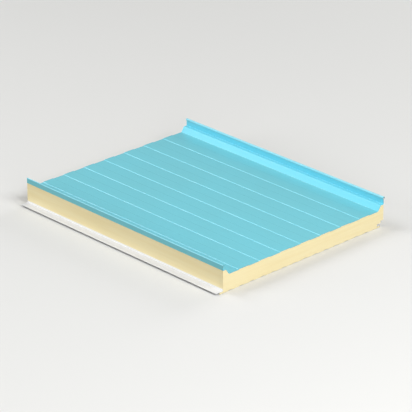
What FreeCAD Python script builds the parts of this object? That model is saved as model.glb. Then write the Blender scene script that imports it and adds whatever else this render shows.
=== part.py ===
# Insulated standing-seam roof panel: a roll-formed steel weather skin and a
# roll-formed steel liner, with a rigid foam core between them.
# Millimetres. The panel lies on its liner on the floor, its length along Y.
# Origin: middle of the overall width and length, on the floor plane.
import FreeCAD, Part
import os
from math import atan2, cos, sin, tan

# --- overall ---------------------------------------------------------------
cover_width = 1000.0        # pitch of neighbouring panels, seam leg to seam leg
panel_length = 1285.0
panel_depth = 80.0          # floor to the weather face of the pan

# --- weather skin ----------------------------------------------------------
skin_thickness = 0.6
shoulder_height = 25.0      # raised shelf beside each seam, above the pan
shelf_width = 18.0
slope_run = 18.0            # level distance covered by the shoulder's slope
shoulder_bend = 3.5
leg_bend = 2.0              # bend radii are those of the sheet's middle line
rib_count = 7
rib_width = 60.0            # between the middles of the rib's two flanks
rib_height = 2.2
rib_flank = 3.0
rib_bend = 3.0

# --- seams -----------------------------------------------------------------
male_height = 51.0          # above the pan
curl_width = 4.6            # inward curl along the top of the male leg
curl_drop = 3.4
female_height = 62.0        # above the pan
head_reach = 5.5            # overhang of the head past the female leg, over the neighbour's curl
head_bulge = 4.2            # swell of the head on the other side of the leg
head_height = 12.5          # from the foot of the neck to the crown
neck_rise = 4.6             # height of the slant from the leg to the head's swell
neck_bend = 2.0
hook_drop = 9.5             # from the crown to the free edge, left open for the seaming tool

# --- liner -----------------------------------------------------------------
liner_thickness = 0.5
groove_start = 44.0         # first groove's middle, from the male leg
groove_pitch = 65.0
groove_width = 24.0         # between the middles of the groove's two flanks
groove_depth = 2.0
groove_flank = 5.0
groove_bend = 4.0
groove_margin = 20.0        # least distance from a groove's middle to the rebate

# --- liner joint with the neighbouring panel ---------------------------------
flange_reach = 39.0         # hemmed fixing flange, out from the male leg
lip_width = 21.0            # foam-filled lip below the flange's inner part
lip_bend = 1.4
hem_gap = 0.3
tongue_height = 8.0
tongue_clearance = 0.2      # tongue below the neighbour's flange
joint_gap = 1.0             # play across the joint
root_bend = 1.0
flange_upstand = 9.0        # sheet edge turned up against the foam, above the flange
tongue_upstand = 6.0        # the same above the tongue, at the back of the rebate

# --- side of the foam that covers the neighbour's flange ---------------------
rebate_height = 19.5        # floor to the rebate's roof
chamber_height = 29.5       # floor to the roof of the fixing chamber
chamber_depth = 17.5

# --- derived heights and places ----------------------------------------------
pan_level = panel_depth - skin_thickness / 2
shelf_level = pan_level + shoulder_height
male_top = panel_depth + male_height - skin_thickness / 2
female_top = panel_depth + female_height - skin_thickness / 2
neck_level = female_top - head_height
shoulder_width = shelf_width + slope_run

land_level = liner_thickness / 2
groove_level = land_level + groove_depth
flange_under = tongue_height + tongue_clearance
flange_lower = flange_under + liner_thickness / 2
flange_upper = flange_lower + liner_thickness + hem_gap
flange_top = flange_upper + liner_thickness / 2
rebate_root = cover_width - flange_reach - joint_gap
tongue_tip = cover_width - lip_width - joint_gap
tongue_level = tongue_height - liner_thickness / 2

centre_x = (cover_width + head_reach - flange_reach) / 2


# --- section drawing -----------------------------------------------------------
# A sheet is drawn as the middle line of its section: corners (x, z, bend radius)
# in the order of travel. Its faces are that line shifted to the left or right.

def point(x, z):
    return FreeCAD.Vector(x, 0, z)


def turned(vector, angle):
    return point(
        vector.x * cos(angle) - vector.z * sin(angle),
        vector.x * sin(angle) + vector.z * cos(angle),
    )


def heading(start, end):
    return point(end[0] - start[0], end[1] - start[1]).normalize()


def left_of(direction):
    return point(-direction.z, direction.x)


def bend_point(path, index, shift, share):
    """A point of the bend at one corner, a share of the way round it."""
    x, z, radius = path[index]
    into = heading(path[index - 1], path[index])
    out = heading(path[index], path[index + 1])
    turn = atan2(into.x * out.z - into.z * out.x, into.dot(out))
    side = 1 if turn > 0 else -1
    entry = point(x, z) - into * (radius * tan(abs(turn) / 2))
    spoke = left_of(into) * -side
    centre = entry - spoke * radius
    return centre + turned(spoke, turn * share) * (radius - side * shift)


def bend_arc(path, index, shift, start_share, end_share):
    middle_share = (start_share + end_share) / 2
    return [bend_point(path, index, shift, share) for share in (start_share, middle_share, end_share)]


def face_line(path, shift, first=None, last=None):
    """Arcs of one face of the sheet, straight stretches lying between them.

    With first or last given, the line starts or stops half way round that bend."""
    pieces = []
    if first is None:
        pieces.append([point(*path[0][:2]) + left_of(heading(path[0], path[1])) * shift])
    for index in range(first or 1, (last or len(path) - 2) + 1):
        start_share = 0.5 if index == first else 0
        end_share = 0.5 if index == last else 1
        pieces.append(bend_arc(path, index, shift, start_share, end_share))
    if last is None:
        pieces.append([point(*path[-1][:2]) + left_of(heading(path[-2], path[-1])) * shift])
    return pieces


def backwards(pieces):
    return [piece[::-1] for piece in pieces[::-1]]


def extruded(pieces):
    """The closed outline of the pieces, drawn out over the panel's length."""
    edges = []
    for piece, following in zip(pieces, pieces[1:] + pieces[:1]):
        if len(piece) == 3:
            edges.append(Part.Arc(*piece).toShape())
        if piece[-1].distanceToPoint(following[0]) > 1e-6:
            edges.append(Part.makeLine(piece[-1], following[0]))
    solid = Part.Face(Part.Wire(edges)).extrude(FreeCAD.Vector(0, panel_length, 0))
    solid.translate(FreeCAD.Vector(-centre_x, -panel_length / 2, 0))
    return solid


def sheet(path, thickness):
    upper = face_line(path, thickness / 2)
    lower = face_line(path, -thickness / 2)
    return extruded(upper + backwards(lower))


def step(middle, width, flank, low, high, radius):
    """Four corners that lift the sheet from low to high and back again."""
    outer = (width + flank) / 2
    inner = (width - flank) / 2
    return [
        (middle - outer, low, radius),
        (middle - inner, high, radius),
        (middle + inner, high, radius),
        (middle + outer, low, radius),
    ]


# --- weather skin ----------------------------------------------------------------

def male_edge():
    """Curl, leg and shoulder on the side that the neighbour's hook covers."""
    leg = skin_thickness / 2
    curl_end = curl_width - skin_thickness / 2
    curl_bend = (curl_end - leg) / 2
    return [
        (curl_end, male_top - curl_drop, 0),
        (curl_end, male_top, curl_bend),
        (leg, male_top, curl_bend),
        (leg, shelf_level, leg_bend),
        (shelf_width, shelf_level, shoulder_bend),
        (shoulder_width, pan_level, shoulder_bend),
    ]


def female_edge():
    """Shoulder, leg and rounded head on the side that covers the neighbour's male leg."""
    leg = cover_width - skin_thickness / 2
    swell = cover_width - skin_thickness / 2 - head_bulge
    hook = cover_width + head_reach - skin_thickness / 2
    crown_bend = (hook - swell) / 2
    return [
        (cover_width - shoulder_width, pan_level, shoulder_bend),
        (cover_width - shelf_width, shelf_level, shoulder_bend),
        (leg, shelf_level, leg_bend),
        (leg, neck_level, neck_bend),
        (swell, neck_level + neck_rise, neck_bend),
        (swell, female_top, crown_bend),
        (hook, female_top, crown_bend),
        (hook, female_top - hook_drop, 0),
    ]


def ribs():
    rib_pitch = cover_width / (rib_count + 1)
    corners = []
    for number in range(1, rib_count + 1):
        middle = number * rib_pitch
        corners += step(middle, rib_width, rib_flank, pan_level, pan_level + rib_height, rib_bend)
    return corners


male = male_edge()
female = female_edge()
skin_path = male + ribs() + female
male_root = len(male) - 3
female_root = len(skin_path) - len(female) + 2

# The foam's sides meet the sheet half way round the bend below each leg.
below_skin = face_line(skin_path, -skin_thickness / 2, male_root, female_root)


# --- liner -----------------------------------------------------------------------

def hem_edge(foam_side):
    """Upstand, upper layer, hemmed flange edge, lower layer and lip."""
    upstand = foam_side - liner_thickness / 2
    flange_edge = liner_thickness / 2 - flange_reach
    hem_bend = (hem_gap + liner_thickness) / 2
    lip_wall = liner_thickness / 2 - lip_width
    return [
        (upstand, flange_top + flange_upstand, 0),
        (upstand, flange_upper, root_bend),
        (flange_edge, flange_upper, hem_bend),
        (flange_edge, flange_lower, hem_bend),
        (lip_wall, flange_lower, lip_bend),
        (lip_wall, land_level, lip_bend),
    ]


def tongue_edge():
    """Tongue that slides below the neighbour's flange, and its upstand."""
    tip = tongue_tip - liner_thickness / 2
    upstand = rebate_root + liner_thickness / 2
    return [
        (tip, land_level, lip_bend),
        (tip, tongue_level, lip_bend),
        (upstand, tongue_level, root_bend),
        (upstand, tongue_height + tongue_upstand, 0),
    ]


def grooves():
    free_width = rebate_root - groove_margin - groove_start
    groove_count = int(free_width / groove_pitch) + 1
    corners = []
    for number in range(groove_count):
        middle = groove_start + number * groove_pitch
        corners += step(middle, groove_width, groove_flank, land_level, groove_level, groove_bend)
    return corners


hem = hem_edge(below_skin[0][0].x)
liner_path = hem + grooves() + tongue_edge()
lip_shoulder = len(hem) - 2


# --- foam core ---------------------------------------------------------------------

def foam_outline():
    """The space between the two sheets, with the rebate cut in the female side."""
    behind_upstand = face_line(liner_path, liner_thickness / 2)[:2]
    above_liner = face_line(liner_path, liner_thickness / 2, lip_shoulder)
    lip_side = above_liner[0][0].x
    female_side = below_skin[-1][-1].x
    chamber_wall = cover_width - chamber_depth
    below_flange = [[point(lip_side, flange_top - liner_thickness)]]
    rebate = [
        [point(rebate_root, rebate_height)],
        [point(chamber_wall, rebate_height)],
        [point(chamber_wall, chamber_height)],
        [point(female_side, chamber_height)],
    ]
    return behind_upstand + below_flange + above_liner + rebate + backwards(below_skin)


nodes = {
    "outer_skin": sheet(skin_path, skin_thickness),
    "foam_core": extruded(foam_outline()),
    "inner_liner": sheet(liner_path, liner_thickness),
}

os.makedirs("parts", exist_ok=True)
for name, solid in nodes.items():
    solid.exportStep("parts/" + name + ".step")
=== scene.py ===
import math

import bpy
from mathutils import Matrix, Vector

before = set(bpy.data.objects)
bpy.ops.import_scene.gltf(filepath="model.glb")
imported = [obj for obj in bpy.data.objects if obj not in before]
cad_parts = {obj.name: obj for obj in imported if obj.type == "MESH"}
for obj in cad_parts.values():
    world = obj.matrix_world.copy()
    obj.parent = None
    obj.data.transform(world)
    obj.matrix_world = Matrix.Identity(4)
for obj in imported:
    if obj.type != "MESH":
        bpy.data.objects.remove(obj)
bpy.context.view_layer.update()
print("loaded", ", ".join(sorted(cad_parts)))


# Helpers for the materials

def paintChip(code):
    # sRGB hex to the linear colour that the shaders want
    channels = [int(code[start:start + 2], 16) / 255 for start in (1, 3, 5)]
    return [c / 12.92 if c <= 0.04045 else ((c + 0.055) / 1.055) ** 2.4 for c in channels] + [1.0]


def addNode(tree, kind, links=None, **settings):
    # links holds a value or another node's output for each input, by name or number
    node = tree.nodes.new(kind)
    for name, value in settings.items():
        setattr(node, name, value)
    for name, value in (links or {}).items():
        if isinstance(value, bpy.types.NodeSocket):
            tree.links.new(value, node.inputs[name])
        else:
            node.inputs[name].default_value = value
    return node


def newMaterial(name):
    material = bpy.data.materials.new(name)
    material.use_nodes = True
    tree = material.node_tree
    tree.nodes.clear()
    shader = addNode(tree, "ShaderNodeBsdfPrincipled")
    addNode(tree, "ShaderNodeOutputMaterial", {"Surface": shader.outputs[0]})
    return material, tree, shader


def perMetre(millimetres):
    # Noise scale, in repeats per metre, for a pattern of that size
    return 1000.0 / millimetres


def dress(node, material):
    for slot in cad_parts[node].material_slots:
        slot.material = material


# Weather skin: light blue polyester coil coat over galvanised steel, rolled on flat before the sheet
# was formed. It gives an even colour with a soft sheen, and a bare grey line where the shear cut it.

weatherCoat = {
    "colour": "#71d4ea",        # paint on faces that stand or slope, brighter and bluer than on level faces: painted light
    "levelShadeColour": "#72c4d0",   # the same paint on faces that lie level, duller: painted shade
    "dustSize": 260.0,          # mm, patches of that film
    "dustNoise": (0.3, 0.7),    # part of the noise that the patches are taken from
    "dustLeast": 0.85,          # film between the patches
    "levelShadeSlope": 0.5,           # upward part of the normal from which faces start to take the painted shade of level faces
    "shelfLevel": 0.102,        # m, level faces above this height, the narrow shelves, are painted lighter
    "shelfBlend": 0.002,        # m
    "shelfShadeLeft": 0.45,          # part of the level shade that stays on them: painted light
    "backColour": "#70c4ce",    # the back of the sheet has a thinner, greyer coat
    "backReach": 0.43,          # m, X place times the normal's X, reached only outside the legs
    "ridgeHighlightColour": "#8cd9e8",   # painted highlight: the seams' rounded tops are painted paler, for the light they catch
    "ridgeHighlightFoot": 0.1275,        # m, height at which that starts
    "ridgeHighlightBlend": 0.001,        # m
    "zinc": "#9aa3a6",
    "endFacing": 0.9,           # part of the normal along Y on a sheared end
    "roughness": 0.27,
    "ior": 1.5,
    "waveSize": 170.0,          # mm, long waves of a pan rolled from thin sheet
    "waveHeight": 0.00035,      # m
    "peelSize": 2.4,            # mm, texture of the rolled coat
    "peelHeight": 0.00004,      # m
}


def coilCoat(name, look):
    material, tree, shader = newMaterial(name)
    place = addNode(tree, "ShaderNodeTexCoord")
    facing = addNode(tree, "ShaderNodeSeparateXYZ", {"Vector": place.outputs["Normal"]})
    spot = addNode(tree, "ShaderNodeSeparateXYZ", {"Vector": place.outputs["Object"]})

    # Level faces take the duller level colour: painted shade by how a face lies, varied in random dust
    # patches. The shelves take less of it, which is painted light
    dustLow, dustHigh = look["dustNoise"]
    patches = addNode(tree, "ShaderNodeTexNoise", {
        "Vector": place.outputs["Object"], "Scale": perMetre(look["dustSize"]), "Detail": 3.0})
    film = addNode(tree, "ShaderNodeMapRange", {
        "Value": patches.outputs["Fac"], "From Min": dustLow, "From Max": dustHigh,
        "To Min": look["dustLeast"], "To Max": 1.0})
    lying = addNode(tree, "ShaderNodeMapRange", {
        "Value": facing.outputs["Z"], "From Min": look["levelShadeSlope"]})
    # Painted light: above the shelf height, level faces keep less of the painted shade
    shelfPaintedLight = addNode(tree, "ShaderNodeMapRange", {
        "Value": spot.outputs["Z"], "From Min": look["shelfLevel"] - look["shelfBlend"],
        "From Max": look["shelfLevel"] + look["shelfBlend"], "To Min": 1.0, "To Max": look["shelfShadeLeft"]})
    levelShadePatches = addNode(tree, "ShaderNodeMath", {
        0: lying.outputs["Result"], 1: film.outputs["Result"]}, operation="MULTIPLY")
    levelShadeAndDust = addNode(tree, "ShaderNodeMath", {
        0: levelShadePatches.outputs[0], 1: shelfPaintedLight.outputs["Result"]}, operation="MULTIPLY")
    front = addNode(tree, "ShaderNodeMix", {
        "Factor": levelShadeAndDust.outputs[0], "A": paintChip(look["colour"]), "B": paintChip(look["levelShadeColour"]),
    }, data_type="RGBA")

    # The back of the sheet shows on the outer sides of the two legs
    outward = addNode(tree, "ShaderNodeMath", {
        0: facing.outputs["X"], 1: spot.outputs["X"]}, operation="MULTIPLY")
    back = addNode(tree, "ShaderNodeMath", {
        0: outward.outputs[0], 1: look["backReach"]}, operation="GREATER_THAN")
    sided = addNode(tree, "ShaderNodeMix", {
        "Factor": back.outputs[0], "A": front.outputs["Result"], "B": paintChip(look["backColour"]),
    }, data_type="RGBA")

    # Painted highlight: above this height the seams' rounded tops are painted paler
    ridgeHighlightMask = addNode(tree, "ShaderNodeMapRange", {
        "Value": spot.outputs["Z"], "From Min": look["ridgeHighlightFoot"],
        "From Max": look["ridgeHighlightFoot"] + look["ridgeHighlightBlend"]})
    colour = addNode(tree, "ShaderNodeMix", {
        "Factor": ridgeHighlightMask.outputs["Result"], "A": sided.outputs["Result"], "B": paintChip(look["ridgeHighlightColour"]),
    }, data_type="RGBA")

    # The shear leaves bare steel on the two ends, whose faces look along Y
    endOn = addNode(tree, "ShaderNodeMath", {0: facing.outputs["Y"]}, operation="ABSOLUTE")
    cut = addNode(tree, "ShaderNodeMath", {
        0: endOn.outputs[0], 1: look["endFacing"]}, operation="GREATER_THAN")
    edged = addNode(tree, "ShaderNodeMix", {
        "Factor": cut.outputs[0], "A": colour.outputs["Result"], "B": paintChip(look["zinc"]),
    }, data_type="RGBA")

    wave = addNode(tree, "ShaderNodeTexNoise", {
        "Vector": place.outputs["Object"], "Scale": perMetre(look["waveSize"]), "Detail": 1.0})
    peel = addNode(tree, "ShaderNodeTexNoise", {
        "Vector": place.outputs["Object"], "Scale": perMetre(look["peelSize"]), "Detail": 2.0})
    rolled = addNode(tree, "ShaderNodeBump", {
        "Height": wave.outputs["Fac"], "Distance": look["waveHeight"], "Strength": 1.0})
    surface = addNode(tree, "ShaderNodeBump", {
        "Height": peel.outputs["Fac"], "Distance": look["peelHeight"], "Strength": 1.0,
        "Normal": rolled.outputs["Normal"]})

    tree.links.new(edged.outputs["Result"], shader.inputs["Base Color"])
    tree.links.new(cut.outputs[0], shader.inputs["Metallic"])
    tree.links.new(surface.outputs["Normal"], shader.inputs["Normal"])
    shader.inputs["Roughness"].default_value = look["roughness"]
    shader.inputs["IOR"].default_value = look["ior"]
    return material


dress("outer_skin", coilCoat("blue polyester coil coat", weatherCoat))
print("weather skin coated")


# Liner: white polyester coil coat on the same steel. It is a little duller than the weather side and
# gives a soft, almost matt white.

linerCoat = dict(
    weatherCoat,
    colour="#f6f6f5",
    # level faces are painted a darker grey than the standing ones: painted shade
    levelShadeColour="#d8dade",
    backColour="#f6f6f5",
    roughness=0.42,
)

dress("inner_liner", coilCoat("white polyester coil coat", linerCoat))
print("liner coated")


# Core: rigid polyisocyanurate foam, cream and matt. Its two ends are sawn, so cut cells show there as
# fine pits. Its long sides are moulded, smoother and a little uneven. The rise of the foam leaves
# faint level bands all over.

foam = {
    "colour": "#f5e5b2",
    "paleColour": "#f8eabb",
    "pitColour": "#ebd7a0",
    "bandSize": 16.0,         # mm, levels of the rise
    "bandLength": 300.0,      # mm
    "bandNoise": (0.35, 0.65),
    "cellSize": 3.2,          # mm, real cells are finer and would not show
    "cellDepth": 0.0005,      # m
    "pitReach": 0.35,         # from a cell's middle, in cells
    "pitDepth": 0.5,          # how far its middle turns to the pit's colour
    "endFacing": 0.9,         # part of the normal along Y on a sawn end
    "moundSize": 90.0,        # mm, gentle unevenness of the moulded sides
    "moundHeight": 0.0012,    # m
    "roughness": 0.85,
    "ior": 1.4,
}


def rigidFoam(name, look):
    material, tree, shader = newMaterial(name)
    place = addNode(tree, "ShaderNodeTexCoord")
    facing = addNode(tree, "ShaderNodeSeparateXYZ", {"Vector": place.outputs["Normal"]})

    bandLow, bandHigh = look["bandNoise"]
    rise = addNode(tree, "ShaderNodeMapping", {
        "Vector": place.outputs["Object"],
        "Scale": [perMetre(look["bandLength"]), perMetre(look["bandLength"]), perMetre(look["bandSize"])]})
    bands = addNode(tree, "ShaderNodeTexNoise", {
        "Vector": rise.outputs["Vector"], "Scale": 1.0, "Detail": 4.0})
    level = addNode(tree, "ShaderNodeMapRange", {
        "Value": bands.outputs["Fac"], "From Min": bandLow, "From Max": bandHigh})
    body = addNode(tree, "ShaderNodeMix", {
        "Factor": level.outputs["Result"], "A": paintChip(look["colour"]), "B": paintChip(look["paleColour"]),
    }, data_type="RGBA")

    # Cut cells, only on the sawn ends
    endOn = addNode(tree, "ShaderNodeMath", {0: facing.outputs["Y"]}, operation="ABSOLUTE")
    sawn = addNode(tree, "ShaderNodeMath", {
        0: endOn.outputs[0], 1: look["endFacing"]}, operation="GREATER_THAN")
    cells = addNode(tree, "ShaderNodeTexVoronoi", {
        "Vector": place.outputs["Object"], "Scale": perMetre(look["cellSize"])})
    pits = addNode(tree, "ShaderNodeMapRange", {
        "Value": cells.outputs["Distance"], "From Max": look["pitReach"],
        "To Min": look["pitDepth"], "To Max": 0.0})
    pitted = addNode(tree, "ShaderNodeMath", {
        0: pits.outputs["Result"], 1: sawn.outputs[0]}, operation="MULTIPLY")
    colour = addNode(tree, "ShaderNodeMix", {
        "Factor": pitted.outputs[0], "A": body.outputs["Result"], "B": paintChip(look["pitColour"]),
    }, data_type="RGBA")

    mounds = addNode(tree, "ShaderNodeTexNoise", {
        "Vector": place.outputs["Object"], "Scale": perMetre(look["moundSize"]), "Detail": 3.0})
    moulded = addNode(tree, "ShaderNodeBump", {
        "Height": mounds.outputs["Fac"], "Distance": look["moundHeight"], "Strength": 1.0})
    surface = addNode(tree, "ShaderNodeBump", {
        "Height": cells.outputs["Distance"], "Distance": look["cellDepth"], "Strength": sawn.outputs[0],
        "Normal": moulded.outputs["Normal"]})

    tree.links.new(colour.outputs["Result"], shader.inputs["Base Color"])
    tree.links.new(surface.outputs["Normal"], shader.inputs["Normal"])
    shader.inputs["Roughness"].default_value = look["roughness"]
    shader.inputs["IOR"].default_value = look["ior"]
    return material


dress("foam_core", rigidFoam("cream polyisocyanurate foam", foam))
print("foam finished")


# Floor, lights and camera

studio = {
    "floorSize": 60.0,             # m
    "floorColour": "#dcdcda",
    "floorBounce": "#5a5a5a",      # what the floor throws back on the panel, as if it stood on a dark stage
    "floorRoughness": 0.9,
    "backdropColour": "#9a9c9e",   # what the sheen of the paint mirrors
    "fillColour": "#ffffff",       # faint light from all round
    "fillStrength": 0.08,
    "lampDistance": 9.0,           # m
    "lampSize": 4.5,               # m
    "sheenFrom": 30.0,             # degrees, lower lamps would turn the pan white where it mirrors them
    # name: azimuth and elevation of the lamp as seen from the panel, power in W
    "lamps": {
        "frontBox": (-30.0, 15.0, 280.0),
        "frontHighBox": (0.0, 40.0, 670.0),
        "leftBox": (-118.0, 17.0, 325.0),
        "backBox": (-158.0, 42.0, 330.0),
        "rightBox": (95.0, 18.0, 345.0),
    },
}

view = {
    "aim": (0.0103, -0.0219, 0.0526),   # m
    "azimuth": -43.68,
    "elevation": 24.14,
    "distance": 11.7,                   # m
    "lens": 226.3,                      # mm
    "clipEnd": 200.0,                   # m
}


def away(azimuth, elevation, distance):
    # Azimuth 0 looks along +Y at the panel, so it stands on its -Y side
    turn, rise = math.radians(azimuth), math.radians(elevation)
    level = distance * math.cos(rise)
    return Vector((level * math.sin(turn), -level * math.cos(turn), distance * math.sin(rise)))


def aimed(thing, target, place):
    bpy.context.collection.objects.link(thing)
    thing.location = target + place
    thing.rotation_euler = (-place).to_track_quat("-Z", "Y").to_euler()
    return thing


def seenDirectly(tree):
    # 1 where the camera, a reflection or a clear part looks at the surface, 0 where it only lights things
    ray = addNode(tree, "ShaderNodeLightPath")
    seen = addNode(tree, "ShaderNodeMath", {
        0: ray.outputs["Is Camera Ray"], 1: ray.outputs["Is Glossy Ray"]}, operation="MAXIMUM")
    return addNode(tree, "ShaderNodeMath", {
        0: seen.outputs[0], 1: ray.outputs["Is Transmission Ray"]}, operation="MAXIMUM").outputs[0]


bpy.ops.object.select_all(action="DESELECT")
bpy.ops.mesh.primitive_plane_add(size=studio["floorSize"])
floor = bpy.context.object
floor.name = "studioFloor"
floorPaint, floorTree, floorShader = newMaterial("pale studio floor")
floorMix = addNode(floorTree, "ShaderNodeMix", {
    "Factor": seenDirectly(floorTree),
    "A": paintChip(studio["floorBounce"]), "B": paintChip(studio["floorColour"]),
}, data_type="RGBA")
floorTree.links.new(floorMix.outputs["Result"], floorShader.inputs["Base Color"])
floorShader.inputs["Roughness"].default_value = studio["floorRoughness"]
floorShader.inputs["Specular IOR Level"].default_value = 0.0   # no glare from the low lamps
floor.data.materials.append(floorPaint)

world = bpy.data.worlds.new("studio")
bpy.context.scene.world = world
world.use_nodes = True
worldTree = world.node_tree
worldTree.nodes.clear()
fill = addNode(worldTree, "ShaderNodeBackground", {
    "Color": paintChip(studio["fillColour"]), "Strength": studio["fillStrength"]})
backdrop = addNode(worldTree, "ShaderNodeBackground", {
    "Color": paintChip(studio["backdropColour"]), "Strength": 1.0})
worldMix = addNode(worldTree, "ShaderNodeMixShader", {
    0: seenDirectly(worldTree), 1: fill.outputs[0], 2: backdrop.outputs[0]})
addNode(worldTree, "ShaderNodeOutputWorld", {"Surface": worldMix.outputs[0]})

middle = Vector(view["aim"])
for name, (azimuth, elevation, power) in studio["lamps"].items():
    lamp = bpy.data.lights.new(name, "AREA")
    lamp.size = studio["lampSize"]
    lamp.energy = power
    box = aimed(bpy.data.objects.new(name, lamp), middle, away(azimuth, elevation, studio["lampDistance"]))
    box.visible_glossy = elevation > studio["sheenFrom"]

optics = bpy.data.cameras.new("camera")
optics.lens = view["lens"]
optics.clip_end = view["clipEnd"]
cameraPlace = away(view["azimuth"], view["elevation"], view["distance"])
bpy.context.scene.camera = aimed(bpy.data.objects.new("camera", optics), middle, cameraPlace)
bpy.context.scene.view_settings.view_transform = "Standard"
print("studio ready")
